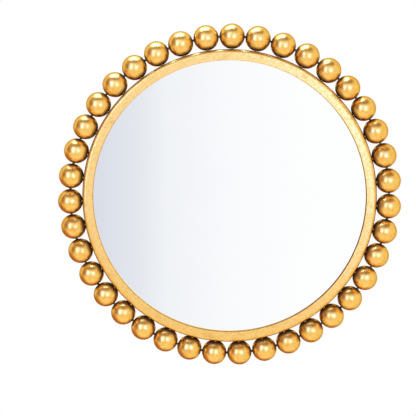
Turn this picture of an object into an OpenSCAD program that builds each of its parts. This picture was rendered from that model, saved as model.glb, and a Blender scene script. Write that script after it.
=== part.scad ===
// Round wall mirror with a string of gold balls round its frame.
// The mirror hangs in the XZ plane and faces -Y. The wall is the plane y = 0, and the origin
// is the centre of the mirror in that plane. Lengths are in millimetres, angles in degrees.

/* [Ring of beads] */
// Diameter of the whole mirror over the beads
overall_d = 533.4; // [480:0.1:620]
// Diameter of one bead
bead_d = 38.4; // [30:0.1:44]
// Number of beads in the ring
bead_count = 39; // [30:1:40]
// Thickness of a bead's pressed wall
bead_wall = 1; // [0.6:0.1:3]
// Angle of the first bead, counter-clockwise from the right
first_bead_angle = 6.1; // [0:0.1:9]
// Distance from a bead to the wall that the mirror hangs on
bead_wall_gap = 1; // [0.5:0.5:10]
// Thickness of the wire hoop that the beads are strung on
hoop_wire_d = 3.8; // [2:0.1:6]
// Room between the hoop and the edge of a bead's hole
hoop_clear = 0.2; // [0.1:0.05:1]

/* [Tacks between beads and band] */
// Gap between a bead and the band, where they are nearest
bead_band_gap = 0.3; // [0.2:0.1:1]
// Distance from a tack's foot to the band's rounded edge
tack_edge_gap = 0.4; // [0.2:0.1:2]
// Thickness of a tack at its waist
tack_waist_d = 3.4; // [2:0.1:4]
// Thickness of a tack at its foot and head
tack_foot_d = 4.4; // [4.1:0.1:5.4]
// Skin of filler between a tack and what it holds
tack_skin = 0.05; // [0.02:0.01:0.2]

/* [Band round the glass] */
// Width of the band's flat face, with its rounded edge
face_w = 16.6; // [13:0.1:24]
// How far the face stands in front of the middle of the beads
face_lead = 12.5; // [11:0.5:16]
// Depth of the band from its face to its back edge
band_depth = 24; // [22:0.5:28]
// Thickness of the sheet that the band is formed from
sheet_t = 1.5; // [1:0.1:2]
// Radius of the rounded outer edge
outer_edge_r = 6; // [3:0.1:7]
// Radius of the edge next to the glass
inner_edge_r = 1; // [0.5:0.1:1.5]
// Depth of the lip that turns in to the glass
lip_depth = 5; // [3:0.1:6]

/* [Glass and back] */
// Thickness of the mirror glass
glass_t = 4; // [3:0.5:5]
// Gap between the glass and the band's outer wall
glass_clear = 1.4; // [0.5:0.1:2]
// Thickness of the foam tape behind the glass
foam_t = 1.5; // [0.5:0.1:2]
// Width of a foam pad
foam_w = 24; // [10:1:40]
// Length of a foam pad
foam_l = 70; // [30:1:100]
// Distance from the outer foam pads to the edge of the glass
foam_edge_gap = 48.1; // [10:0.1:60]
// Number of foam pads in the outer ring
foam_count = 8; // [4:1:8]
// Thickness of the backing board
board_t = 9; // [8:0.5:10]
// Gap between the board and the band's outer wall
board_clear = 1.2; // [0.5:0.1:2]
// Bevel round the back edge of the board
board_bevel = 1; // [0.5:0.1:2]

/* [Board tabs and screws] */
// Number of tabs that hold the board
tab_count = 6; // [3:1:8]
// Angle of the first tab, counter-clockwise from the right
tab_first_angle = 0; // [-5:1:5]
// Length of a tab round the band
tab_w = 14; // [10:1:20]
// How far a tab reaches in over the board
tab_reach = 15; // [12:0.5:22]
// Thickness of a tab
tab_t = 1.5; // [1:0.1:2]
// Height of the tab's leg along the band
tab_leg = 4; // [2.5:0.1:4.4]
// Skin of filler between a tab's leg and the band
tab_skin = 0.1; // [0.05:0.05:0.3]
// Diameter of a wood screw's shank
screw_d = 2.9; // [2:0.1:3.5]
// Length of a wood screw under its head
screw_l = 8; // [6:0.5:8.5]
// Diameter of a wood screw's head
screw_head_d = 6; // [5:0.1:7]
// Height of a wood screw's head
screw_head_t = 2; // [1.4:0.1:2.2]
// Width of the slots of the cross in a screw's head
cross_w = 0.9; // [0.6:0.1:1.2]
// Room round a screw in its pilot hole
pilot_clear = 0.05; // [0.02:0.01:0.1]
// Room round a screw in a plate's hole
plate_hole_clear = 0.3; // [0.1:0.05:0.5]

/* [Ring hangers] */
// Distance between the two hangers
hanger_spacing = 300; // [200:1:330]
// Height of the hanger rings' bars above the middle of the mirror
hanger_height = 112; // [60:1:125]
// Width of a strap
strap_w = 12; // [10:0.5:14]
// Length of a strap below the ring's bar
strap_l = 44; // [42:1:55]
// Thickness of a strap
strap_t = 1; // [0.8:0.1:1.5]
// Distance from the ring's bar to the first strap screw
strap_screw_drop = 25; // [24:0.5:26]
// Distance between the two screws of a strap
strap_screw_pitch = 12; // [9:0.5:13]
// Thickness of the ring's wire
ring_wire_d = 3; // [2:0.1:3.5]
// Radius of the ring's bow, to the middle of the wire
ring_bow_r = 10.5; // [9.5:0.1:12]
// Length of the straight sides of the ring
ring_side_l = 4; // [1:0.1:6]
// Radius of the ring's two corners, to the middle of the wire
ring_corner_r = 3; // [2:0.1:3.5]
// Room between the ring's bar and the strap's eye
eye_clear = 0.06; // [0.02:0.01:0.1]
// Gap between the hanging ring and the strap behind it
ring_strap_gap = 0.4; // [0.3:0.05:0.6]

/* [Wall bumpers] */
// Distance from the middle of a bumper to the edge of the board
bumper_edge_gap = 35.3; // [20:0.1:80]
// Angle of the first bumper, counter-clockwise from the right
bumper_first_angle = 52; // [48:1:56]
// Diameter of a bumper where it meets the board
bumper_base_d = 18; // [14:0.5:24]
// Diameter of a bumper where it meets the wall
bumper_tip_d = 15; // [10:0.5:18]
// Rounding of the bumper's edge at the wall
bumper_round = 1.2; // [0.5:0.1:2]
// Diameter of the stem that is pushed into the board
bumper_stem_d = 5; // [3:0.1:7]
// Length of the stem
bumper_stem_l = 6; // [4:0.5:7.5]
// Room round the stem in its hole
bumper_stem_clear = 0.05; // [0.02:0.01:0.2]

/* [Hidden] */
$fn = 96;
ring_fn = 240;
ball_seat_fn = 192;
tack_fn = 60;
// Length by which a cut runs past the surface that it cuts
over = 1;

// Radii about the middle of the mirror
bead_r = bead_d / 2;
hoop_r = overall_d / 2 - bead_r;
hoop_wire_r = hoop_wire_d / 2;
band_r = hoop_r - bead_r - bead_band_gap;
band_in_r = band_r - sheet_t;
opening_r = band_r - face_w;
glass_r = band_in_r - glass_clear;
board_r = band_in_r - board_clear;
foam_ring_r = glass_r - foam_edge_gap - foam_w / 2;
bumper_ring_r = board_r - bumper_edge_gap;

// Distances off the wall
bead_off = bead_r + bead_wall_gap;
face_off = bead_off + face_lead;
band_back_off = face_off - band_depth;
glass_front_off = face_off - lip_depth;
glass_back_off = glass_front_off - glass_t;
board_front_off = glass_back_off - foam_t;
board_back_off = board_front_off - board_t;

// The hoop is curved and a bead's hole is straight, so the hole is wider than the wire by
// the height of the hoop's arc over the bead
hoop_arc_rise = hoop_r - sqrt(hoop_r * hoop_r - bead_r * bead_r);
bead_hole_r = hoop_wire_r + hoop_arc_rise + hoop_clear;
bead_step = 360 / bead_count;

// A tack stands on the band's straight wall, just behind its rounded edge
tack_lead = face_lead - outer_edge_r - tack_edge_gap - tack_foot_d / 2;

// Tabs and screws
screw_r = screw_d / 2;
pilot_r = screw_r + pilot_clear;
plate_hole_r = screw_r + plate_hole_clear;
screw_head_r = screw_head_d / 2;
tab_back_off = board_back_off - tab_t;
tab_out_r = band_in_r - tab_skin;
tab_screw_r = band_in_r - tab_t - (tab_reach - tab_t) / 2;
cross_depth = screw_head_t * 0.55;
cross_l = screw_head_d * 0.62;

// Ring hangers
ring_wire_r = ring_wire_d / 2;
eye_in_r = ring_wire_r + eye_clear;
eye_out_r = eye_in_r + strap_t;
strap_back_off = board_back_off - strap_t;
ring_off = strap_back_off - ring_strap_gap - ring_wire_r;
ring_half_w = ring_bow_r;
hanger_x = [for (side = [-1, 1]) side * hanger_spacing / 2];
strap_screw_y = [for (i = [0, 1]) hanger_height - strap_screw_drop - i * strap_screw_pitch];

// Bumpers, one in each quarter
bumper_angles = [
    bumper_first_angle,
    180 - bumper_first_angle,
    180 + bumper_first_angle,
    360 - bumper_first_angle
];

function two_digits(n) = str(n < 10 ? "0" : "", n);
BEADS = [for (i = [1 : bead_count]) str("bead_", two_digits(i))];
BUMPERS = [for (i = [1 : len(bumper_angles)]) str("wall_bumper_", i)];

// Places. Each part is drawn with x to the right, y up and z off the wall, then stood up.
module on_wall() {
    rotate([90, 0, 0]) children();
}

// From here x points away from the middle of the mirror and y runs round it
module at_angle(angle, radius) {
    rotate([0, 0, angle]) translate([radius, 0, 0]) children();
}

module tab_places() {
    for (i = [0 : tab_count - 1]) rotate([0, 0, tab_first_angle + i * 360 / tab_count]) children();
}

module strap_screw_places(side) {
    for (y = strap_screw_y) translate([hanger_x[side], y, 0]) children();
}

module bumper_place(i) {
    at_angle(bumper_angles[i], bumper_ring_r) children();
}

// Band: a sheet formed into a channel, with a lip for the glass
module rounded_corner_cut(radius) {
    difference() {
        translate([-radius, -radius]) square(radius + over);
        translate([-radius, -radius]) circle(radius);
    }
}

module channel_outline() {
    difference() {
        translate([opening_r, band_back_off]) square([face_w, band_depth]);
        translate([band_r, face_off]) rounded_corner_cut(outer_edge_r);
        translate([opening_r, face_off]) mirror([1, 0]) rounded_corner_cut(inner_edge_r);
        translate([opening_r - over, band_back_off - over])
            square([sheet_t + 2 * over, band_depth - lip_depth + over]);
    }
}

module channel_hollow() {
    hollow_in_r = opening_r + sheet_t;
    hollow_top = face_off - sheet_t;
    hollow_edge_r = outer_edge_r - sheet_t;
    difference() {
        translate([hollow_in_r, band_back_off - over])
            square([face_w - 2 * sheet_t, band_depth - sheet_t + over]);
        translate([band_in_r, hollow_top]) rounded_corner_cut(hollow_edge_r);
    }
}

module frame_band() {
    color("#dfae52")
        rotate_extrude($fn = ring_fn)
            difference() {
                channel_outline();
                channel_hollow();
            }
}

// Bead: a hollow ball with a hole at each side, turned about the line of the hoop
module bead_profile() {
    difference() {
        circle(bead_r);
        circle(bead_r - bead_wall);
        translate([bead_hole_r - 2 * bead_r, -bead_r - over]) square([2 * bead_r, bead_d + 2 * over]);
    }
}

module bead(i) {
    color("#d9a23c")
        at_angle(first_bead_angle + i * bead_step, hoop_r)
            translate([0, 0, bead_off])
                rotate([90, 0, 0])
                    rotate_extrude()
                        bead_profile();
}

module bead_hoop() {
    color("#6b4a1c")
        translate([0, 0, bead_off])
            rotate_extrude($fn = ring_fn)
                translate([hoop_r, 0])
                    circle(hoop_wire_r);
}

// Tack: a waisted blob that runs out from the band and ends on the ball
module tack_profile() {
    waist_r = tack_waist_d / 2;
    foot_r = tack_foot_d / 2;
    // The ball curves away most from the tack's front edge
    front_lead = tack_lead + foot_r;
    tack_l = bead_band_gap + bead_r - sqrt(bead_r * bead_r - front_lead * front_lead);
    waist_h = tack_l * 0.45;
    waist_in = foot_r - waist_r;
    // The scoop runs through the edge of the foot and the waist
    scoop_r = (waist_in * waist_in + waist_h * waist_h) / (2 * waist_in);
    difference() {
        square([foot_r, tack_l]);
        translate([waist_r + scoop_r, waist_h]) circle(scoop_r, $fn = tack_fn);
    }
}

module tack(i) {
    at_angle(first_bead_angle + i * bead_step, 0)
        difference() {
            translate([band_r + tack_skin, 0, bead_off + tack_lead])
                rotate([0, 90, 0])
                    rotate_extrude($fn = tack_fn)
                        tack_profile();
            translate([hoop_r, 0, bead_off]) sphere(bead_r + tack_skin, $fn = ball_seat_fn);
        }
}

module bead_tacks() {
    color("#c8924a")
        for (i = [0 : bead_count - 1]) tack(i);
}

// Glass, tape and board, from the front to the back
module mirror_glass() {
    color("#dfe5ee")
        translate([0, 0, glass_back_off])
            cylinder(h = glass_t, r = glass_r, $fn = ring_fn);
}

module foam_pad() {
    translate([-foam_w / 2, -foam_l / 2, board_front_off]) cube([foam_w, foam_l, foam_t]);
}

module foam_pads() {
    color("#f2f2ee") {
        foam_pad();
        for (i = [0 : foam_count - 1]) at_angle(i * 360 / foam_count, foam_ring_r) foam_pad();
    }
}

module board_outline() {
    difference() {
        translate([0, board_back_off]) square([board_r, board_t]);
        translate([board_r, board_back_off]) rotate(45) square(board_bevel * sqrt(2), center = true);
    }
}

module pilot_hole() {
    translate([0, 0, board_back_off - over]) cylinder(h = screw_l + over, r = pilot_r);
}

module tab_pilot_holes() {
    translate([0, 0, -tab_t])
        tab_places()
            translate([tab_screw_r, 0, 0])
                pilot_hole();
}

module strap_pilot_holes() {
    translate([0, 0, -strap_t])
        for (side = [0, 1]) strap_screw_places(side) pilot_hole();
}

module stem_holes() {
    hole_l = bumper_stem_l + bumper_stem_clear;
    for (i = [0 : len(bumper_angles) - 1])
        bumper_place(i)
            translate([0, 0, board_back_off - over])
                cylinder(h = hole_l + over, d = bumper_stem_d + 2 * bumper_stem_clear);
}

module backing_board() {
    color("#26241f")
        difference() {
            rotate_extrude($fn = ring_fn) board_outline();
            tab_pilot_holes();
            strap_pilot_holes();
            stem_holes();
        }
}

// Screw: round head with a cross, plain shank, at height zero under its head
module wood_screw() {
    difference() {
        union() {
            cylinder(h = screw_l, r = screw_r);
            rotate_extrude() screw_head_profile();
        }
        translate([0, 0, -screw_head_t]) {
            cube([cross_l, cross_w, 2 * cross_depth], center = true);
            cube([cross_w, cross_l, 2 * cross_depth], center = true);
        }
    }
}

module screw_head_profile() {
    // A circle through the middle of the head and its rim gives the low dome
    dome_r = (screw_head_r * screw_head_r + screw_head_t * screw_head_t) / (2 * screw_head_t);
    intersection() {
        translate([0, -screw_head_t]) square([screw_head_r, screw_head_t]);
        translate([0, dome_r - screw_head_t]) circle(dome_r);
    }
}

// Tab: a leg along the band and a shelf over the board
module tab_profile() {
    translate([tab_out_r - tab_t, board_back_off - tab_leg]) square([tab_t, tab_leg]);
    translate([band_in_r - tab_reach, tab_back_off]) square([tab_reach - tab_skin, tab_t]);
}

module board_tab() {
    tab_turn = tab_w / tab_out_r * 180 / PI;
    difference() {
        rotate([0, 0, -tab_turn / 2])
            rotate_extrude(angle = tab_turn, $fn = ring_fn)
                tab_profile();
        translate([tab_screw_r, 0, tab_back_off - over]) cylinder(h = tab_t + 2 * over, r = plate_hole_r);
    }
}

module board_tabs() {
    color("#b9985a")
        tab_places()
            board_tab();
}

module tab_screws() {
    color("#b8b4aa")
        tab_places()
            translate([tab_screw_r, 0, tab_back_off])
                wood_screw();
}

// Hanger strap: a plate with a round end, rolled into an eye round the ring's bar
module strap_outline() {
    plate_l = strap_l - strap_w / 2;
    difference() {
        union() {
            translate([-strap_w / 2, -plate_l]) square([strap_w, plate_l]);
            translate([0, -plate_l]) circle(strap_w / 2);
        }
        for (i = [0, 1])
            translate([0, -strap_screw_drop - i * strap_screw_pitch]) circle(plate_hole_r);
    }
}

module hanger_strap(side) {
    color("#c9c7c0")
        translate([hanger_x[side], hanger_height, 0])
            difference() {
                union() {
                    translate([0, 0, strap_back_off]) linear_extrude(strap_t) strap_outline();
                    translate([-strap_w / 2, 0, ring_off]) rotate([0, 90, 0]) cylinder(h = strap_w, r = eye_out_r);
                    translate([-strap_w / 2, -eye_out_r, ring_off])
                        cube([strap_w, eye_out_r, board_back_off - ring_off]);
                }
                translate([-strap_w / 2 - over, 0, ring_off])
                    rotate([0, 90, 0])
                        cylinder(h = strap_w + 2 * over, r = eye_in_r);
            }
}

// Ring: a bar, two round corners, two sides and a bow
module wire_run(length) {
    rotate([-90, 0, 0]) cylinder(h = length, r = ring_wire_r, $fn = 48);
}

module wire_bend(radius, turn) {
    rotate_extrude(angle = turn)
        translate([radius, 0])
            circle(ring_wire_r, $fn = 48);
}

module ring_half() {
    bar_l = ring_half_w - ring_corner_r;
    rotate([0, 0, -90]) wire_run(bar_l);
    translate([bar_l, -ring_corner_r, 0]) wire_bend(ring_corner_r, 90);
    translate([ring_half_w, -ring_corner_r - ring_side_l, 0]) wire_run(ring_side_l);
    translate([0, -ring_corner_r - ring_side_l, 0]) rotate([0, 0, -90]) wire_bend(ring_bow_r, 90);
}

module hanger_ring(side) {
    color("#c2c0ba")
        translate([hanger_x[side], hanger_height, ring_off]) {
            ring_half();
            mirror([1, 0, 0]) ring_half();
        }
}

module hanger_screws(side) {
    color("#b8b4aa")
        strap_screw_places(side)
            translate([0, 0, strap_back_off])
                wood_screw();
}

// Bumper: a tapered rubber foot with a stem, its tip in the plane of the wall
module bumper_profile() {
    tip_r = bumper_tip_d / 2;
    difference() {
        union() {
            polygon([[0, 0], [tip_r, 0], [bumper_base_d / 2, board_back_off], [0, board_back_off]]);
            translate([0, board_back_off - over]) square([bumper_stem_d / 2, bumper_stem_l + over]);
        }
        translate([tip_r, 0]) rotate(45) square(bumper_round * sqrt(2), center = true);
    }
}

module wall_bumper(i) {
    color("#2a2a2a")
        bumper_place(i)
            rotate_extrude()
                bumper_profile();
}

on_wall() frame_band();
on_wall() bead_hoop();
on_wall() bead_tacks();
for (i = [0 : bead_count - 1])
    on_wall() bead(i);
on_wall() mirror_glass();
on_wall() foam_pads();
on_wall() backing_board();
on_wall() board_tabs();
on_wall() tab_screws();
on_wall() hanger_strap(0);  // left_hanger_strap
on_wall() hanger_ring(0);  // left_hanger_ring
on_wall() hanger_screws(0);  // left_hanger_screws
on_wall() hanger_strap(1);  // right_hanger_strap
on_wall() hanger_ring(1);  // right_hanger_ring
on_wall() hanger_screws(1);  // right_hanger_screws
for (i = [0 : len(bumper_angles) - 1])
    on_wall() wall_bumper(i);
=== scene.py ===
"""Finishes for a round wall mirror with a string of gilded balls round its frame.

The mirror hangs in the XZ plane and faces -Y, with its centre over the origin. Lengths are in
metres. Each button in the sidebar finishes or models one piece, or one group of like pieces.
"""
import math

import bmesh
import bpy
from bpy.props import FloatProperty, FloatVectorProperty, IntProperty, PointerProperty
from mathutils import Matrix, Vector


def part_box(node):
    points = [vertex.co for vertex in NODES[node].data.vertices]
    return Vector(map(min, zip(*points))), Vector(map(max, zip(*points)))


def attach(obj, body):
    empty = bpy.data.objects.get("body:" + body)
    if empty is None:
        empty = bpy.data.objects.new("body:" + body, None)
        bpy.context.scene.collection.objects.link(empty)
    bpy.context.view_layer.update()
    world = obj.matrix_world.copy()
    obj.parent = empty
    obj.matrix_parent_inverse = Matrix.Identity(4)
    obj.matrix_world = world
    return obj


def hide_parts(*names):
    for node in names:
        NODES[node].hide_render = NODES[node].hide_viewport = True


bl_info = {
    "name": "Beaded Round Mirror",
    "version": (1, 0, 0),
    "blender": (4, 5, 0),
    "location": "3D View > Sidebar > Mirror",
    "description": "Gilds, glazes and lights a round wall mirror with a beaded frame",
    "category": "Object",
}

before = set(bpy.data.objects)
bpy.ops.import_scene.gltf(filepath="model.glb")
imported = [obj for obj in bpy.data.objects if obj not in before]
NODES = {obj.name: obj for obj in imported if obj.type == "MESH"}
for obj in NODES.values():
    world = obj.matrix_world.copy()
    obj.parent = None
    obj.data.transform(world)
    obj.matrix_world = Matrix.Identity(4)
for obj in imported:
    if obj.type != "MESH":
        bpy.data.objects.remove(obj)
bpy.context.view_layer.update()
BEADS = sorted(name for name in NODES if name.startswith("bead_") and name[5:].isdigit())
BUMPERS = sorted(name for name in NODES if name.startswith("wall_bumper_"))
STRAPS = sorted(name for name in NODES if name.endswith("_strap"))
RINGS = sorted(name for name in NODES if name.endswith("_ring"))
SCREWS = sorted(name for name in NODES if name.endswith("_screws"))


def srgb(hex_colour):
    """The linear red, green and blue of an sRGB colour written as #rrggbb."""
    channels = [int(hex_colour[i:i + 2], 16) / 255 for i in (1, 3, 5)]
    return tuple(c / 12.92 if c <= 0.04045 else ((c + 0.055) / 1.055) ** 2.4 for c in channels)


def middle(node):
    """The middle of a CAD node's box."""
    low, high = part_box(node)
    return (low + high) / 2


def bead_angle(node):
    """Angle of a ball about the middle of the mirror, counter-clockwise from the right."""
    centre = middle(node)
    return math.atan2(centre.z, centre.x)


# Sizes that the finishes and the new pieces share. All but the face's width come from the frame.
FACE_WIDTH = 0.0166
BALL_LOW, BALL_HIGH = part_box(BEADS[0])
BALL_RADIUS = (BALL_HIGH.z - BALL_LOW.z) / 2
BALL_Y = middle(BEADS[0]).y
RING_RADIUS = math.hypot(middle(BEADS[0]).x, middle(BEADS[0]).z)
BALL_STEP = 2 * math.pi / len(BEADS)
FIRST_ANGLE = bead_angle(BEADS[0])
BAND_LOW, BAND_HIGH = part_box("frame_band")
BAND_RADIUS = BAND_HIGH.x
FACE_OFF_WALL = -BAND_LOW.y
OPENING_RADIUS = BAND_RADIUS - FACE_WIDTH

# A pattern is moved along this by an amount of its own, so that no two lie alike
SHIFT = Vector((1, 0.7, -1))

# Five kinds of brazed blob stand round the ring in a mixed order, each turned further about its
# length than the last
BLOB_KINDS = 5
BLOB_STRIDE = 7
BLOB_TURN = 2.4
BLOB_SIDES = 12
BLOB_ROUNDING = 2

# The tape stays a hair off the glass and the board. Its edges are rounded, and its cut sides are
# pulled in by these shares of its width and its length
FOAM_CLEARANCE = 0.00002
FOAM_EDGE = 0.0005
FOAM_PULL_IN = (0.985, 1, 0.995)

SENSOR_MM = 36
FLOOR_RADIUS = 1.6
FLOOR_Y = -1.5

# The place of each soft box, the point that it faces, its width and its height
SOFT_BOXES = {
    "overhead_box": ((-0.25, 0.035, 1.2), (-0.25, 0.035, 0), 0.96, 0.55),
    "left_box": ((-1.22, -1.95, 0.57), (-1.22, 0, 0.57), 0.85, 1.75),
    "right_box": ((0.69, -1.95, 0.22), (0.69, 0, 0.22), 0.72, 0.85),
}

# The paper that the glass shows, from its shaded left edge to its lit right one
PAPER_WIDTH = 0.28
PAPER_STOPS = ((0.0, "#d3d6e2"), (0.125, "#dcdfe8"), (0.25, "#e6e9ee"), (0.33, "#f1f3f6"),
               (0.54, "#f9fafc"), (0.75, "#fefefe"), (1.0, "#ffffff"))


def colour_property(name, description, hex_colour):
    """A colour that a user can pick."""
    return FloatVectorProperty(name=name, description=description, subtype="COLOR", min=0, max=1,
                               default=srgb(hex_colour))


def length_property(name, description, metres, highest=1.0):
    """A length that a user can set."""
    return FloatProperty(name=name, description=description, default=metres, min=0, max=highest,
                         subtype="DISTANCE", unit="LENGTH", precision=5)


def share_property(name, description, value):
    """A number from 0 to 1."""
    return FloatProperty(name=name, description=description, default=value, min=0, max=1,
                         subtype="FACTOR")


def brightness_property(name, description, value):
    """How bright a lamp looks in a reflection, where 1 is its plain colour."""
    return FloatProperty(name=name, description=description, default=value, min=0, max=20)


class GildingSettings(bpy.types.PropertyGroup):
    """Gold leaf, the clay under it and the wax rubbed over it, whose dark also paints shade in the
    crevices
    """
    leaf_light: colour_property("Fresh leaf", "Leaf where it was burnished most", "#ffd07a")
    leaf_mid: colour_property("Leaf", "Leaf over most of the surface", "#fac866")
    leaf_deep: colour_property("Worn leaf", "Leaf that has been rubbed thin", "#e8a040")
    edge_tint: colour_property("Edge tint", "What leaf reflects at a grazing angle", "#c0925a")
    clay: colour_property("Clay", "Red clay that shows through small breaks", "#8a4a1e")
    primer: colour_property("Primer", "Ochre paint where there is no leaf", "#cc8a30")
    # The wax colour also paints shade: in the band's groove and corner, between the balls and on
    # the hoop
    wax_and_shade: colour_property("Wax", "Brown wax left in corners and between the balls", "#5c2c0c")
    band_roughness: share_property("Band roughness", "How dull the brushed face is", 0.38)
    ball_roughness: share_property("Ball roughness", "How dull the burnished balls are", 0.3)
    tack_roughness: share_property("Tack roughness", "How dull the brazed blobs are", 0.38)
    tab_roughness: share_property("Tab roughness", "How dull the board's tabs are", 0.48)
    cloud_size: length_property("Cloud size", "Width of a worn area of the leaf", 0.026)
    mottle_size: length_property("Mottle size", "Width of a light or deep patch of leaf", 0.0045)
    fleck_size: length_property("Fleck size", "Width of a break in the leaf", 0.0016)
    wrinkle_size: length_property("Wrinkle size", "Width of a wrinkle in the leaf", 0.004)
    wrinkle_depth: length_property("Wrinkle depth", "Height of the wrinkles", 0.00008)


class TackSettings(bpy.types.PropertyGroup):
    """The brazed blobs that join the balls to the band"""
    lead: length_property("Lead", "How far a blob sits in front of its ball's middle", 0.0045)
    width: length_property("Width", "Width of a blob where it meets the band", 0.0048)
    waist: length_property("Waist", "Width of a blob at its narrowest", 0.0037)
    sink: length_property("Sink", "How far a blob's ends melt into what they join", 0.0003)
    lumps: length_property("Lumps", "Height of the lumps left by the torch", 0.00022)


class BackSettings(bpy.types.PropertyGroup):
    """Board, hardware, rubber and tape"""
    board: colour_property("Board", "Black paint on the fibreboard", "#232220")
    board_fibres: colour_property("Fibres", "Fibres that the paint is thin on", "#46423c")
    board_scuffs: colour_property("Scuffs", "Places where the paint is rubbed", "#5a544b")
    zinc: colour_property("Zinc", "Plating of the straps and rings", "#cfcdc6")
    zinc_blue: colour_property("Zinc tint", "Bluish patches in the plating", "#b9c2c9")
    zinc_spots: colour_property("Zinc spots", "Duller spots in the plating", "#8d8b85")
    strap_roughness: share_property("Strap roughness", "How dull the straps' plating is", 0.34)
    ring_roughness: share_property("Ring roughness", "How dull the rings' plating is", 0.24)
    screw_roughness: share_property("Screw roughness", "How dull the screws' plating is", 0.28)
    rubber: colour_property("Rubber", "Colour of the bumpers", "#1d1d1e")
    rubber_bloom: colour_property("Rubber bloom", "Pale bloom on the bumpers", "#3a3a3b")
    foam: colour_property("Foam", "Colour of the tape", "#ecebe4")
    foam_cells: colour_property("Foam cells", "Shade between the cells of the tape", "#d9d7cc")
    foam_ring: length_property("Foam ring", "Distance of the outer pads from the middle", 0.165)
    foam_width: length_property("Foam width", "Width of a pad", 0.023)
    foam_length: length_property("Foam length", "Length of a pad", 0.069)
    foam_pads: IntProperty(name="Foam pads", description="Number of pads in the outer ring",
                           default=8, min=3, max=12)


class StudioSettings(bpy.types.PropertyGroup):
    """Camera, lamps, room and floor"""
    camera_place: FloatVectorProperty(name="Camera", description="Place of the camera",
                                      subtype="TRANSLATION", unit="LENGTH", precision=4,
                                      default=(-0.0174, -1.7106, 0.2033))
    camera_tilt: FloatProperty(name="Tilt", description="How far the camera looks down",
                               subtype="ANGLE", default=0.12944)
    camera_turn: FloatProperty(name="Turn", description="How far the camera is turned to its left",
                               subtype="ANGLE", default=0.00936)
    lens: FloatProperty(name="Lens", description="Focal length on a sensor 36 mm wide",
                        default=94.77, min=10, max=300, subtype="DISTANCE_CAMERA")
    overhead: brightness_property("Overhead lamp", "Brightness of the lamp above", 9.5)
    left_box: brightness_property("Left lamp", "Brightness of the lamp at the left", 7.0)
    right_box: brightness_property("Right lamp", "Brightness of the lamp at the right", 9.3)
    overhead_light: colour_property("Overhead light", "Colour of the lamp above", "#8ec5ff")
    left_light: colour_property("Left light", "Colour of the lamp at the left", "#678dff")
    right_light: colour_property("Right light", "Colour of the lamp at the right", "#5c88ff")
    room: colour_property("Room", "Colour of the pale room", "#fbf9e6")
    window: colour_property("Window", "Daylight added high in front of the mirror", "#2c8eec")
    table: colour_property("Table", "Colour of the wood low in front of the mirror", "#c0823a")
    walls: colour_property("Walls", "Colour of the dim walls at the left and above", "#a47236")
    floor_drop: length_property("Floor drop", "How far the floor lies below the middle", 1.4, 5.0)
    floor: colour_property("Floor", "Colour of the floor", "#f4e9d0")
    floor_cloud: colour_property("Floor clouds", "Paler parts of the floor", "#f6ecd6")
    floor_glow: colour_property("Floor glow", "Colour of the lit floor to the eye", "#fffdf1")
    floor_seen: share_property("Floor seen", "Glow of the floor in the camera", 0.7)
    floor_mirrored: share_property("Floor mirrored", "Glow of the floor in a mirror", 0.32)


SETTINGS = {"mirror_gilding": GildingSettings, "mirror_tacks": TackSettings,
            "mirror_back": BackSettings, "mirror_studio": StudioSettings}


# Materials

def per_mm(millimetres):
    """The scale that gives a pattern features of this width, for coordinates in metres."""
    return 1000 / millimetres


def add_node(tree, kind, inputs=(), **settings):
    """Adds a node with its settings. Inputs are given in order or by name. An input is a value, a
    socket to link, or a node, whose first output is linked."""
    node = tree.nodes.new(kind)
    for name, value in settings.items():
        setattr(node, name, value)
    if isinstance(inputs, dict):
        filled = [(node.inputs[name], value) for name, value in inputs.items()]
    else:
        filled = zip([socket for socket in node.inputs if socket.enabled], inputs)
    for socket, value in filled:
        if isinstance(value, bpy.types.Node):
            value = next(output for output in value.outputs if output.enabled)
        if isinstance(value, bpy.types.NodeSocket):
            tree.links.new(value, socket)
        elif socket.type == "RGBA" and len(value) == 3:
            socket.default_value = (*value, 1)
        else:
            socket.default_value = value
    return node


def area_mask(tree, *edges, most=1.0):
    """A mask for the area where all of several values have passed their edges. An edge is a value,
    the level at which the mask rises from 0, and the level at which it has risen to its most."""
    mask = None
    for value, start, end in edges:
        passed = add_node(tree, "ShaderNodeMapRange", (value, start, end, 0.0, most),
                          interpolation_type="SMOOTHSTEP")
        if mask:
            passed = add_node(tree, "ShaderNodeMath", (mask, passed), operation="MULTIPLY")
        mask, most = passed, 1.0
    return mask


def lay_coats(tree, colour, *coats):
    """Lays coats over a colour, one after another. A coat is the pattern that it follows, the level
    at which it starts, the level at which it is fullest, how much covers there, and its colour."""
    for pattern, start, full, most, coat in coats:
        patches = add_node(tree, "ShaderNodeMapRange", (pattern, start, full, 0.0, most),
                           interpolation_type="SMOOTHSTEP")
        colour = add_node(tree, "ShaderNodeMix", (patches, colour, coat), data_type="RGBA")
    return colour


def new_material(name):
    """An empty material, its tree and its Object coordinates."""
    material = bpy.data.materials.new(name)
    material.use_nodes = True
    tree = material.node_tree
    tree.nodes.clear()
    return material, tree, add_node(tree, "ShaderNodeTexCoord").outputs["Object"]


def finish_material(tree, **inputs):
    """Ends a material with the shader, whose inputs are named with _ for a space."""
    named = {name.replace("_", " "): value for name, value in inputs.items()}
    shader = add_node(tree, "ShaderNodeBsdfPrincipled", named)
    add_node(tree, "ShaderNodeOutputMaterial", {"Surface": shader})


def paint(material, *nodes):
    """Gives CAD nodes this material."""
    for node in nodes:
        slots = NODES[node].data.materials
        slots.clear()
        slots.append(material)


def ring_places(tree, places):
    """Distance from the middle of the mirror, angle round it and place along Y."""
    split = add_node(tree, "ShaderNodeSeparateXYZ", (places,))
    x, y, z = (split.outputs[axis] for axis in "XYZ")
    square = add_node(tree, "ShaderNodeMath", (x, x), operation="MULTIPLY")
    square = add_node(tree, "ShaderNodeMath", (z, z, square), operation="MULTIPLY_ADD")
    radius = add_node(tree, "ShaderNodeMath", (square,), operation="SQRT")
    return radius, add_node(tree, "ShaderNodeMath", (z, x), operation="ARCTAN2"), y


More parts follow.
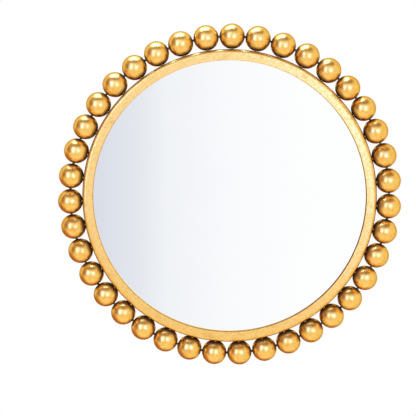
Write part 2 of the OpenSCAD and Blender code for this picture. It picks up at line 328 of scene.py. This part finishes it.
def ball_wax_and_shade(tree, places, grain):
    """Wax stays on a ball where a cloth can't reach, and painted shade darkens the same places:
    towards the band and towards its neighbours. Gives the dark, and how much of the leaf's shine
    it lets through."""
    radius, angle, _ = ring_places(tree, places)
    ragged = add_node(tree, "ShaderNodeMath", (grain, 0.16, -0.08), operation="MULTIPLY_ADD")
    # How far a point lies from its ball's middle towards the band, in ball radii
    inward = add_node(tree, "ShaderNodeMath", (RING_RADIUS, radius), operation="SUBTRACT")
    inward = add_node(tree, "ShaderNodeMath", (inward, 1 / BALL_RADIUS, ragged),
                      operation="MULTIPLY_ADD")
    # And how far it lies towards a neighbour
    turn = add_node(tree, "ShaderNodeMath", (angle, FIRST_ANGLE - BALL_STEP / 2),
                    operation="SUBTRACT")
    turn = add_node(tree, "ShaderNodeMath", (turn, BALL_STEP), operation="FLOORED_MODULO")
    turn = add_node(tree, "ShaderNodeMath", (turn, BALL_STEP / 2), operation="SUBTRACT")
    turn = add_node(tree, "ShaderNodeMath", (turn,), operation="ABSOLUTE")
    aside = add_node(tree, "ShaderNodeMath", (turn, radius), operation="MULTIPLY")
    aside = add_node(tree, "ShaderNodeMath", (aside, 1 / BALL_RADIUS, ragged),
                     operation="MULTIPLY_ADD")
    # Wax and painted shade: darkest towards the band and towards the neighbouring balls
    at_band, at_neighbour = (
        add_node(tree, "ShaderNodeMapRange", (value, start, full, 0.0, 0.92),
                 interpolation_type="SMOOTHSTEP")
        for value, start, full in ((inward, 0.58, 0.90), (aside, 0.80, 0.96)))
    wax_and_shade = add_node(tree, "ShaderNodeMath", (at_band, at_neighbour), operation="MAXIMUM")
    return wax_and_shade, add_node(tree, "ShaderNodeMath", (wax_and_shade, -0.5, 1.0), operation="MULTIPLY_ADD")


def band_wax_and_shade(tree, places, grain):
    """Wax and painted shade darken the groove between the band and the balls, and painted shade
    alone darkens the corner beside the glass. Gives the dark, and how much of the leaf's shine is
    left."""
    radius, angle, y = ring_places(tree, places)
    ragged = add_node(tree, "ShaderNodeMath", (grain, 0.0016, -0.0008), operation="MULTIPLY_ADD")
    ragged_radius = add_node(tree, "ShaderNodeMath", (radius, ragged), operation="ADD")
    off_wall = add_node(tree, "ShaderNodeMath", (ragged, y), operation="SUBTRACT")
    # The groove takes the band's outer edge, from 1.2 mm behind its face, as wax and painted shade
    # together
    groove = area_mask(tree, (ragged_radius, BAND_RADIUS - 0.0009, BAND_RADIUS - 0.0002),
                       (off_wall, FACE_OFF_WALL - 0.0012, FACE_OFF_WALL - 0.003))
    # The corner takes the wall of the opening, down to 2 mm behind the face. It is painted shade,
    # darkest at the right and none at the left
    sweep = add_node(tree, "ShaderNodeMath", (angle, math.radians(5)), operation="SUBTRACT")
    sweep = add_node(tree, "ShaderNodeMath", (sweep,), operation="COSINE")
    corner = area_mask(tree, (radius, OPENING_RADIUS + 0.0004, OPENING_RADIUS),
                       (off_wall, FACE_OFF_WALL - 0.0004, FACE_OFF_WALL - 0.002),
                       (sweep, -0.2, 1.1))
    wax_and_shade = add_node(tree, "ShaderNodeMath", (groove, corner), operation="MAXIMUM")
    wax_and_shade = add_node(tree, "ShaderNodeMath", (wax_and_shade, 0.85), operation="MULTIPLY")
    # Leaf lies under the wax of the groove, and little of it under the painted shade of the corner
    covered = add_node(tree, "ShaderNodeMath", (groove, 0.45), operation="MULTIPLY")
    covered = add_node(tree, "ShaderNodeMath", (covered, corner), operation="MAXIMUM")
    return wax_and_shade, add_node(tree, "ShaderNodeMath", (1.0, covered), operation="SUBTRACT")


def gilding(name, look, roughness, wax_and_shade_places=None):
    """Gold leaf laid over red clay on iron, burnished, broken in small flecks, then waxed dark and
    rubbed back. Where a mask is given, the dark of the wax also paints the shade in the crevices.
    The leaf is metal, so its colour is that of its reflections, and it stays glossy where it is
    whole and dull where clay or wax shows."""
    material, tree, places = new_material(name)
    # Each pattern has features of a real width, in metres
    cloud, mottle, fleck, grain, wrinkle = (
        add_node(tree, "ShaderNodeTexNoise",
                 {"Vector": add_node(tree, "ShaderNodeMapping", (places, SHIFT * shift)),
                  "Scale": 1 / width, "Detail": detail, "Roughness": rough})
        for width, detail, rough, shift in (
            (look.cloud_size, 3.0, 0.6, 0.31), (look.mottle_size, 5.0, 0.7, 1.7),
            (look.fleck_size, 7.0, 0.78, 2.9), (0.003, 4.0, 0.7, 4.3),
            (look.wrinkle_size, 2.0, 0.5, 6.1)))
    colour = lay_coats(tree, look.leaf_mid, (mottle, 0.42, 0.68, 1.0, look.leaf_light),
                       (mottle, 0.50, 0.28, 0.6, look.leaf_deep),
                       (cloud, 0.55, 0.75, 0.35, look.leaf_deep))
    # Clay shows in flecks, and more of them where a whole area is rubbed
    broken = add_node(tree, "ShaderNodeMapRange", (fleck, 0.59, 0.72, 0.0, 0.5),
                      interpolation_type="SMOOTHSTEP")
    rubbed = area_mask(tree, (cloud, 0.60, 0.72), (fleck, 0.46, 0.60), most=0.3)
    worn = add_node(tree, "ShaderNodeMath", (broken, rubbed), operation="MAXIMUM")
    colour = add_node(tree, "ShaderNodeMix", (worn, colour, look.clay), data_type="RGBA")
    dull = add_node(tree, "ShaderNodeMapRange",
                    (mottle, 0.30, 0.70, roughness * 1.12, roughness * 0.9),
                    interpolation_type="SMOOTHSTEP")
    dull = add_node(tree, "ShaderNodeMath", (worn, 0.25, dull), operation="MULTIPLY_ADD")
    metal = add_node(tree, "ShaderNodeMath", (worn, -0.6, 1.0), operation="MULTIPLY_ADD")
    if wax_and_shade_places:
        # The mask darkens the leaf with wax and painted shade, and primer shows where the leaf
        # gives way
        wax_and_shade, leaf_share = wax_and_shade_places(tree, places, grain)
        colour = add_node(tree, "ShaderNodeMix", (leaf_share, look.primer, colour), data_type="RGBA")
        colour = add_node(tree, "ShaderNodeMix", (wax_and_shade, colour, look.wax_and_shade), data_type="RGBA")
        dull = add_node(tree, "ShaderNodeMath", (wax_and_shade, 0.2, dull), operation="MULTIPLY_ADD")
        metal = add_node(tree, "ShaderNodeMath", (metal, leaf_share), operation="MULTIPLY")
    wrinkles = add_node(tree, "ShaderNodeBump",
                        {"Height": wrinkle, "Distance": look.wrinkle_depth, "Strength": 1.0})
    finish_material(tree, Base_Color=colour, Roughness=dull, Metallic=metal, Normal=wrinkles,
                    Specular_Tint=look.edge_tint, Specular_IOR_Level=0.0)
    return material


def zinc_plate(name, back, roughness):
    """Zinc plating on steel: pale grey with faint blue patches, satin from the bath, with a few
    fine scratches and duller spots."""
    material, tree, places = new_material(name)
    patches, grain = (
        add_node(tree, "ShaderNodeTexNoise",
                 {"Vector": add_node(tree, "ShaderNodeMapping", (places, SHIFT * shift)),
                  "Scale": per_mm(width), "Detail": detail, "Roughness": rough})
        for width, detail, rough, shift in ((7, 4.0, 0.6, 0.4), (0.7, 5.0, 0.7, 2.2)))
    colour = lay_coats(tree, back.zinc, (patches, 0.40, 0.62, 1.0, back.zinc_blue),
                       (grain, 0.60, 0.74, 0.35, back.zinc_spots))
    dull = add_node(tree, "ShaderNodeMapRange",
                    (grain, 0.30, 0.70, roughness * 0.8, roughness * 1.4),
                    interpolation_type="SMOOTHSTEP")
    scratches = add_node(tree, "ShaderNodeBump",
                         {"Height": grain, "Distance": 0.00002, "Strength": 1.0})
    finish_material(tree, Base_Color=colour, Roughness=dull, Metallic=1.0, Normal=scratches)
    return material


class MIRROR_OT_gild_band(bpy.types.Operator):
    """Gilds the band round the glass"""
    bl_idname = "mirror.gild_band"
    bl_label = "Gild the Band"

    def execute(self, context):
        look = context.scene.mirror_gilding
        material = gilding("gold leaf on iron, brushed", look, look.band_roughness, band_wax_and_shade)
        paint(material, "frame_band")
        return {"FINISHED"}


class MIRROR_OT_gild_balls(bpy.types.Operator):
    """Gilds the balls"""
    bl_idname = "mirror.gild_balls"
    bl_label = "Gild the Balls"

    def execute(self, context):
        look = context.scene.mirror_gilding
        material = gilding("gold leaf on iron, burnished", look, look.ball_roughness, ball_wax_and_shade)
        paint(material, *BEADS)
        return {"FINISHED"}


class MIRROR_OT_darken_hoop(bpy.types.Operator):
    """Darkens the wire hoop that the balls are strung on, as painted shade of the gaps between the
    balls
    """
    bl_idname = "mirror.darken_hoop"
    bl_label = "Darken the Hoop"

    def execute(self, context):
        look = context.scene.mirror_gilding
        # Iron wire: brown-black as painted shade of the gaps between the balls, half dull, with
        # leaf left in patches
        material, tree, places = new_material("iron wire in painted shade")
        shifted = add_node(tree, "ShaderNodeMapping", (places, SHIFT * 0.9))
        rubs = add_node(tree, "ShaderNodeTexNoise", {"Vector": shifted, "Scale": per_mm(1.8),
                                                     "Detail": 4.0, "Roughness": 0.7})
        leaf = add_node(tree, "ShaderNodeMapRange", (rubs, 0.48, 0.64),
                        interpolation_type="SMOOTHSTEP")
        colour = add_node(tree, "ShaderNodeMix", (leaf, look.wax_and_shade, look.leaf_deep),
                          data_type="RGBA")
        dull = add_node(tree, "ShaderNodeMapRange", (leaf, 0.0, 1.0, 0.5, 0.34),
                        interpolation_type="SMOOTHSTEP")
        finish_material(tree, Base_Color=colour, Roughness=dull, Metallic=0.3,
                        Specular_IOR_Level=0.1)
        paint(material, "bead_hoop")
        return {"FINISHED"}


class MIRROR_OT_silver_glass(bpy.types.Operator):
    """Silvers the glass"""
    bl_idname = "mirror.silver_glass"
    bl_label = "Silver the Glass"

    def execute(self, context):
        # Silvered float glass: a clean, flat reflection with a faint haze of blue in it
        material, tree, places = new_material("silvered float glass")
        shifted = add_node(tree, "ShaderNodeMapping", (places, SHIFT * 0.5))
        haze = add_node(tree, "ShaderNodeTexNoise", {"Vector": shifted, "Scale": per_mm(60)})
        colour = add_node(tree, "ShaderNodeMix", (haze, srgb("#ffffff"), srgb("#fdfeff")),
                          data_type="RGBA")
        finish_material(tree, Base_Color=colour, Roughness=0.0, Metallic=1.0)
        paint(material, "mirror_glass")
        return {"FINISHED"}


class MIRROR_OT_paint_board(bpy.types.Operator):
    """Paints the backing board"""
    bl_idname = "mirror.paint_board"
    bl_label = "Paint the Board"

    def execute(self, context):
        back = context.scene.mirror_back
        # Fibreboard under thin black paint: matte, with pressed fibres that show as short streaks
        material, tree, places = new_material("painted fibreboard")
        streaks = add_node(tree, "ShaderNodeMapping", {"Vector": places, "Scale": (1, 1, 0.22)})
        fibres, scuffs = (
            add_node(tree, "ShaderNodeTexNoise",
                     {"Vector": add_node(tree, "ShaderNodeMapping", (source, SHIFT * shift)),
                      "Scale": per_mm(width), "Detail": detail, "Roughness": rough})
            for source, width, detail, rough, shift in (
                (streaks, 0.9, 6.0, 0.72, 0.2), (places, 38, 5.0, 0.65, 3.1)))
        colour = lay_coats(tree, back.board, (fibres, 0.45, 0.75, 0.5, back.board_fibres),
                           (scuffs, 0.58, 0.74, 0.35, back.board_scuffs))
        dull = add_node(tree, "ShaderNodeMapRange", (fibres, 0.3, 0.7, 0.78, 0.62),
                        interpolation_type="SMOOTHSTEP")
        pressed = add_node(tree, "ShaderNodeBump",
                           {"Height": fibres, "Distance": 0.00008, "Strength": 1.0})
        finish_material(tree, Base_Color=colour, Roughness=dull, Normal=pressed)
        paint(material, "backing_board")
        return {"FINISHED"}


class MIRROR_OT_gild_tabs(bpy.types.Operator):
    """Gilds the tabs that hold the board in"""
    bl_idname = "mirror.gild_tabs"
    bl_label = "Gild the Tabs"

    def execute(self, context):
        look = context.scene.mirror_gilding
        paint(gilding("gold leaf on iron, thin", look, look.tab_roughness), "board_tabs")
        return {"FINISHED"}


class MIRROR_OT_plate_straps(bpy.types.Operator):
    """Plates the straps that hold the hanger rings"""
    bl_idname = "mirror.plate_straps"
    bl_label = "Plate the Straps"

    def execute(self, context):
        back = context.scene.mirror_back
        paint(zinc_plate("zinc-plated strap", back, back.strap_roughness), *STRAPS)
        return {"FINISHED"}


class MIRROR_OT_plate_rings(bpy.types.Operator):
    """Plates the hanger rings"""
    bl_idname = "mirror.plate_rings"
    bl_label = "Plate the Rings"

    def execute(self, context):
        back = context.scene.mirror_back
        paint(zinc_plate("zinc-plated wire", back, back.ring_roughness), *RINGS)
        return {"FINISHED"}


class MIRROR_OT_plate_screws(bpy.types.Operator):
    """Plates the screws of the tabs and the straps"""
    bl_idname = "mirror.plate_screws"
    bl_label = "Plate the Screws"

    def execute(self, context):
        back = context.scene.mirror_back
        paint(zinc_plate("zinc-plated screws", back, back.screw_roughness), *SCREWS)
        return {"FINISHED"}


class MIRROR_OT_mould_bumpers(bpy.types.Operator):
    """Gives the bumpers their moulded rubber"""
    bl_idname = "mirror.mould_bumpers"
    bl_label = "Mould the Bumpers"

    def execute(self, context):
        back = context.scene.mirror_back
        # Moulded black rubber: nearly matte, with a fine bloom and a soft grain from the mould
        material, tree, places = new_material("moulded rubber")
        bloom, grain = (
            add_node(tree, "ShaderNodeTexNoise",
                     {"Vector": add_node(tree, "ShaderNodeMapping", (places, SHIFT * shift)),
                      "Scale": per_mm(width), "Detail": detail, "Roughness": rough})
            for width, detail, rough, shift in ((5, 4.0, 0.6, 0.8), (0.5, 3.0, 0.5, 1.9)))
        colour = lay_coats(tree, back.rubber, (bloom, 0.5, 0.7, 0.4, back.rubber_bloom))
        dull = add_node(tree, "ShaderNodeMapRange", (grain, 0.3, 0.7, 0.62, 0.78),
                        interpolation_type="SMOOTHSTEP")
        pits = add_node(tree, "ShaderNodeBump",
                        {"Height": grain, "Distance": 0.00004, "Strength": 1.0})
        finish_material(tree, Base_Color=colour, Roughness=dull, Normal=pits)
        paint(material, *BUMPERS)
        return {"FINISHED"}


# New pieces

def start_piece():
    """Leaves nothing selected, so that an operator acts on the new primitive alone."""
    if bpy.context.object and bpy.context.object.mode != "OBJECT":
        bpy.ops.object.mode_set(mode="OBJECT")
    bpy.ops.object.select_all(action="DESELECT")


def select_by_place(piece, test):
    """Selects the vertices whose place passes the test, in edit mode."""
    bpy.ops.mesh.select_all(action="DESELECT")
    bpy.ops.mesh.select_mode(type="VERT")
    mesh = bmesh.from_edit_mesh(piece.data)
    for vertex in mesh.verts:
        vertex.select_set(test(vertex.co))
    mesh.select_flush_mode()
    bmesh.update_edit_mesh(piece.data)


def place_mesh(piece, matrix):
    """Moves a piece by its mesh, so that its object stays at the origin."""
    piece.data.transform(matrix @ piece.matrix_world)
    piece.matrix_world = Matrix.Identity(4)


def copy_piece(piece):
    """A copy with its own mesh."""
    copy = piece.copy()
    copy.data = piece.data.copy()
    bpy.context.collection.objects.link(copy)
    return copy


def join_pieces(pieces, name):
    """Joins pieces into one object of this name."""
    start_piece()
    for piece in pieces:
        piece.select_set(True)
    bpy.context.view_layer.objects.active = pieces[0]
    bpy.ops.object.join()
    pieces[0].name = name
    pieces[0].data.name = name
    return pieces[0]


def finish_piece(piece, material, slot, *nodes):
    """Gives a new piece its material and body, and lets it stand for its CAD nodes."""
    piece.data.materials.clear()
    piece.data.materials.append(material)
    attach(piece, "mirror")
    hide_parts(*nodes)


def torch_blob(tacks, length, seed):
    """One brazed blob: a short cylinder, cut into rings, drawn in at its waist, roughened and
    smoothed. It stands on the origin and points along X."""
    start_piece()
    bpy.ops.mesh.primitive_cylinder_add(vertices=BLOB_SIDES, radius=tacks.width / 2, depth=length,
                                        end_fill_type="NGON", location=(length / 2, 0, 0),
                                        rotation=(0, math.pi / 2, 0))
    blob = bpy.context.object
    bpy.ops.object.transform_apply(location=True, rotation=True, scale=True)
    bpy.ops.object.mode_set(mode="EDIT")
    waist = tacks.waist / tacks.width
    half_waist = (1 + waist) / 2
    cuts = ((0.25, half_waist), (0.5, waist), (0.75, half_waist))
    for share, _ in cuts:
        bpy.ops.mesh.select_all(action="SELECT")
        bpy.ops.mesh.bisect(plane_co=(length * share, 0, 0), plane_no=(1, 0, 0))
    for share, narrow in cuts:
        # A cut's ring is what lies within a twentieth of the length
        select_by_place(blob, lambda place: abs(place.x - length * share) < length * 0.05)
        bpy.ops.transform.resize(value=(1, narrow, narrow), center_override=(length * share, 0, 0))
    bpy.ops.mesh.select_all(action="SELECT")
    bpy.ops.transform.vertex_random(offset=tacks.lumps, uniform=0.0, normal=0.3, seed=seed)
    bpy.ops.object.mode_set(mode="OBJECT")
    rounding = blob.modifiers.new("Rounding", "SUBSURF")
    rounding.levels = BLOB_ROUNDING
    rounding.render_levels = BLOB_ROUNDING
    bpy.ops.object.modifier_apply(modifier=rounding.name)
    bpy.ops.object.shade_smooth()
    return blob


class MIRROR_OT_braze_tacks(bpy.types.Operator):
    """Models the brazed blobs between the band and the balls"""
    bl_idname = "mirror.braze_tacks"
    bl_label = "Braze the Tacks"

    def execute(self, context):
        tacks = context.scene.mirror_tacks
        look = context.scene.mirror_gilding
        ball_near = RING_RADIUS - math.sqrt(BALL_RADIUS ** 2 - tacks.lead ** 2)
        # The rim of a blob's end meets the round ball a little further out than its middle
        rim_rise = BALL_RADIUS - math.sqrt(BALL_RADIUS ** 2 - (tacks.width / 2) ** 2)
        length = ball_near + rim_rise - BAND_RADIUS + 2 * tacks.sink
        kinds = [torch_blob(tacks, length, seed) for seed in range(1, BLOB_KINDS + 1)]
        foot = Matrix.Translation((BAND_RADIUS - tacks.sink, BALL_Y - tacks.lead, 0))
        blobs = []
        for index, bead in enumerate(BEADS):
            blob = copy_piece(kinds[index * BLOB_STRIDE % BLOB_KINDS])
            spin = Matrix.Rotation(index * BLOB_TURN, 4, "X")
            place_mesh(blob, Matrix.Rotation(-bead_angle(bead), 4, "Y") @ foot @ spin)
            blobs.append(blob)
        for kind in kinds:
            bpy.data.objects.remove(kind)
        piece = join_pieces(blobs, "bead_tack_blobs")
        material = gilding("gilded brazing", look, look.tack_roughness)
        finish_piece(piece, material, "gold_leaf_tacks", "bead_tacks")
        return {"FINISHED"}


class MIRROR_OT_lay_foam(bpy.types.Operator):
    """Models the foam tape behind the glass"""
    bl_idname = "mirror.lay_foam"
    bl_label = "Lay the Foam Tape"

    def execute(self, context):
        back = context.scene.mirror_back
        low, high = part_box("foam_pads")
        half_way = (low.y + high.y) / 2
        thickness = high.y - low.y - 2 * FOAM_CLEARANCE
        start_piece()
        bpy.ops.mesh.primitive_cube_add(size=1, location=(0, half_way, 0))
        pad = bpy.context.object
        pad.scale = (back.foam_width, thickness, back.foam_length)
        bpy.ops.object.transform_apply(location=True, rotation=True, scale=True)
        bpy.ops.object.mode_set(mode="EDIT")
        bpy.ops.mesh.select_all(action="SELECT")
        bpy.ops.mesh.bevel(offset=FOAM_EDGE, segments=3, affect="EDGES")
        # The cut edges of foam tape pull in a little at half thickness
        select_by_place(pad, lambda place: abs(place.y - half_way) < thickness * 0.3)
        bpy.ops.transform.resize(value=FOAM_PULL_IN)
        bpy.ops.object.mode_set(mode="OBJECT")
        bpy.ops.object.shade_smooth_by_angle(angle=math.radians(40))
        pads = [pad]
        for index in range(back.foam_pads):
            copy = copy_piece(pad)
            turn = Matrix.Rotation(-index * 2 * math.pi / back.foam_pads, 4, "Y")
            place_mesh(copy, turn @ Matrix.Translation((back.foam_ring, 0, 0)))
            pads.append(copy)
        piece = join_pieces(pads, "foam_tape")
        # Closed-cell foam: matte and pale, with cells a third of a millimetre wide
        material, tree, places = new_material("closed-cell foam tape")
        cells = add_node(tree, "ShaderNodeTexVoronoi", {"Vector": places, "Scale": per_mm(0.35)})
        colour = lay_coats(tree, back.foam, (cells, 0.1, 0.7, 1.0, back.foam_cells))
        pores = add_node(tree, "ShaderNodeBump",
                         {"Height": cells, "Distance": 0.0001, "Strength": 1.0})
        finish_material(tree, Base_Color=colour, Roughness=0.9, Normal=pores)
        finish_piece(piece, material, "foam_tape", "foam_pads")
        return {"FINISHED"}


# Studio

def add_lamp(name, brightness, colour, place, target, width, height):
    """A soft box that faces the target. It lights all but the glass, which shows the paper and
    none of the lamps."""
    start_piece()
    bpy.ops.object.light_add(type="AREA", location=place)
    lamp = bpy.context.object
    lamp.name = name
    direction = Vector(target) - Vector(place)
    lamp.rotation_euler = direction.to_track_quat("-Z", "Y").to_euler()
    lamp.data.shape = "RECTANGLE"
    lamp.data.size = width
    lamp.data.size_y = height
    lamp.data.energy = brightness * math.pi * width * height
    lamp.data.color = colour
    lamp.visible_camera = False
    unlit = bpy.data.collections.new(name + "_unlit")
    unlit.objects.link(NODES["mirror_glass"])
    unlit.collection_objects[0].light_linking.link_state = "EXCLUDE"
    lamp.light_linking.receiver_collection = unlit


def studio_world(studio):
    """White to the camera. To the mirror it is a pale room with daylight high in front, wood low
    in front and dim walls at the left and above, which give the gold its dark and warm parts. A
    sweep of pale paper straight ahead is all that the glass shows."""
    world = bpy.data.worlds.new("studio")
    world.use_nodes = True
    tree = world.node_tree
    tree.nodes.clear()
    direction = add_node(tree, "ShaderNodeTexCoord").outputs["Generated"]
    split = add_node(tree, "ShaderNodeSeparateXYZ", (direction,))
    # Each runs from -1 to 1: to the right, to behind the mirror and up
    x, y, z = (split.outputs[axis] for axis in "XYZ")
    daylight = area_mask(tree, (z, 0.0, 0.3), (y, -0.55, -0.85))
    room = add_node(tree, "ShaderNodeMix", (daylight, studio.room, studio.window),
                    data_type="RGBA", blend_type="ADD")
    wood = area_mask(tree, (y, -0.3, -0.1), (z, 0.0, -0.4), (x, 0.6, 0.1))
    room = add_node(tree, "ShaderNodeMix", (wood, room, studio.table), data_type="RGBA")
    left = area_mask(tree, (x, -0.52, -0.82), (z, -0.4, 0.05), (y, 0.15, -0.1))
    above = area_mask(tree, (z, 0.57, 0.73), (x, 0.85, 0.45), (y, 0.15, -0.1))
    dim = add_node(tree, "ShaderNodeMath", (left, above), operation="MAXIMUM")
    room = add_node(tree, "ShaderNodeMix", (dim, room, studio.walls), data_type="RGBA")
    along = add_node(tree, "ShaderNodeMapRange", (x, -PAPER_WIDTH / 2, PAPER_WIDTH / 2))
    paper = add_node(tree, "ShaderNodeValToRGB", (along,))
    stops = paper.color_ramp.elements
    stops[0].position, stops[1].position = PAPER_STOPS[0][0], PAPER_STOPS[-1][0]
    stops[0].color = (*srgb(PAPER_STOPS[0][1]), 1)
    stops[1].color = (*srgb(PAPER_STOPS[-1][1]), 1)
    for position, colour in PAPER_STOPS[1:-1]:
        stops.new(position).color = (*srgb(colour), 1)
    # The paper hangs a little below the middle, and its edges are soft
    beside = add_node(tree, "ShaderNodeMath", (x,), operation="ABSOLUTE")
    height = add_node(tree, "ShaderNodeMath", (z, 0.13), operation="ADD")
    height = add_node(tree, "ShaderNodeMath", (height,), operation="ABSOLUTE")
    ahead = area_mask(tree, (beside, 0.30, 0.16), (height, 0.28, 0.17), (y, -0.4, -0.6))
    seen = add_node(tree, "ShaderNodeMix", (ahead, room, paper), data_type="RGBA")
    camera_ray = add_node(tree, "ShaderNodeLightPath").outputs["Is Camera Ray"]
    seen = add_node(tree, "ShaderNodeMix", (camera_ray, seen, srgb("#ffffff")), data_type="RGBA")
    background = add_node(tree, "ShaderNodeBackground", {"Color": seen, "Strength": 1.0})
    add_node(tree, "ShaderNodeOutputWorld", {"Surface": background})
    bpy.context.scene.world = world


def studio_floor(studio):
    """A matte floor that keeps the mirror's shadow and looks white to the camera."""
    start_piece()
    bpy.ops.mesh.primitive_circle_add(vertices=96, radius=FLOOR_RADIUS, fill_type="NGON",
                                      location=(0, FLOOR_Y, -studio.floor_drop))
    floor = bpy.context.object
    floor.name = "floor"
    # Matte painted floor, without gloss, in faint clouds
    material, tree, places = new_material("matte white floor")
    shifted = add_node(tree, "ShaderNodeMapping", (places, SHIFT * 0.6))
    cloud = add_node(tree, "ShaderNodeTexNoise", {"Vector": shifted, "Scale": per_mm(400)})
    colour = add_node(tree, "ShaderNodeMix", (cloud, studio.floor, studio.floor_cloud),
                      data_type="RGBA")
    ray = add_node(tree, "ShaderNodeLightPath").outputs
    glow = add_node(tree, "ShaderNodeMath", (ray["Is Glossy Ray"], ray["Is Transmission Ray"]),
                    operation="MAXIMUM")
    glow = add_node(tree, "ShaderNodeMath", (glow, studio.floor_mirrored), operation="MULTIPLY")
    glow = add_node(tree, "ShaderNodeMath", (ray["Is Camera Ray"], studio.floor_seen, glow),
                    operation="MULTIPLY_ADD")
    finish_material(tree, Base_Color=colour, Roughness=0.9, Emission_Color=studio.floor_glow,
                    Emission_Strength=glow)
    floor.data.materials.append(material)


class MIRROR_OT_set_stage(bpy.types.Operator):
    """Adds the camera, the lamps, the world and the floor"""
    bl_idname = "mirror.set_stage"
    bl_label = "Set the Stage"

    def execute(self, context):
        studio = context.scene.mirror_studio
        start_piece()
        upright = math.pi / 2 - studio.camera_tilt
        bpy.ops.object.camera_add(location=studio.camera_place,
                                  rotation=(upright, 0, studio.camera_turn))
        camera = bpy.context.object
        camera.name = "photograph"
        camera.data.lens = studio.lens
        camera.data.sensor_width = SENSOR_MM
        context.scene.camera = camera
        for name, brightness, colour in (
                ("overhead_box", studio.overhead, studio.overhead_light),
                ("left_box", studio.left_box, studio.left_light),
                ("right_box", studio.right_box, studio.right_light)):
            add_lamp(name, brightness, colour, *SOFT_BOXES[name])
        studio_world(studio)
        studio_floor(studio)
        context.scene.view_settings.view_transform = "Standard"
        return {"FINISHED"}


STEPS = (MIRROR_OT_gild_band, MIRROR_OT_gild_balls, MIRROR_OT_braze_tacks, MIRROR_OT_darken_hoop,
         MIRROR_OT_silver_glass, MIRROR_OT_lay_foam, MIRROR_OT_paint_board, MIRROR_OT_gild_tabs,
         MIRROR_OT_plate_straps, MIRROR_OT_plate_rings, MIRROR_OT_plate_screws,
         MIRROR_OT_mould_bumpers, MIRROR_OT_set_stage)


class MIRROR_PT_finishes(bpy.types.Panel):
    """Finishes of the mirror"""
    bl_label = "Beaded Mirror"
    bl_idname = "MIRROR_PT_finishes"
    bl_space_type = "VIEW_3D"
    bl_region_type = "UI"
    bl_category = "Mirror"

    def draw(self, context):
        for name, group in SETTINGS.items():
            box = self.layout.box()
            box.label(text=group.__doc__)
            for setting in group.__annotations__:
                box.prop(getattr(context.scene, name), setting)
        for step in STEPS:
            self.layout.operator(step.bl_idname)


def register():
    for group in SETTINGS.values():
        bpy.utils.register_class(group)
    for step in STEPS:
        bpy.utils.register_class(step)
    bpy.utils.register_class(MIRROR_PT_finishes)
    for name, group in SETTINGS.items():
        setattr(bpy.types.Scene, name, PointerProperty(type=group))


def unregister():
    for name in SETTINGS:
        delattr(bpy.types.Scene, name)
    bpy.utils.unregister_class(MIRROR_PT_finishes)
    for step in reversed(STEPS):
        bpy.utils.unregister_class(step)
    for group in SETTINGS.values():
        bpy.utils.unregister_class(group)


def main():
    register()
    bpy.ops.mirror.gild_band()
    bpy.ops.mirror.gild_balls()
    bpy.ops.mirror.braze_tacks()
    bpy.ops.mirror.darken_hoop()
    bpy.ops.mirror.silver_glass()
    bpy.ops.mirror.lay_foam()
    bpy.ops.mirror.paint_board()
    bpy.ops.mirror.gild_tabs()
    bpy.ops.mirror.plate_straps()
    bpy.ops.mirror.plate_rings()
    bpy.ops.mirror.plate_screws()
    bpy.ops.mirror.mould_bumpers()
    bpy.ops.mirror.set_stage()


if __name__ == "__main__":
    main()
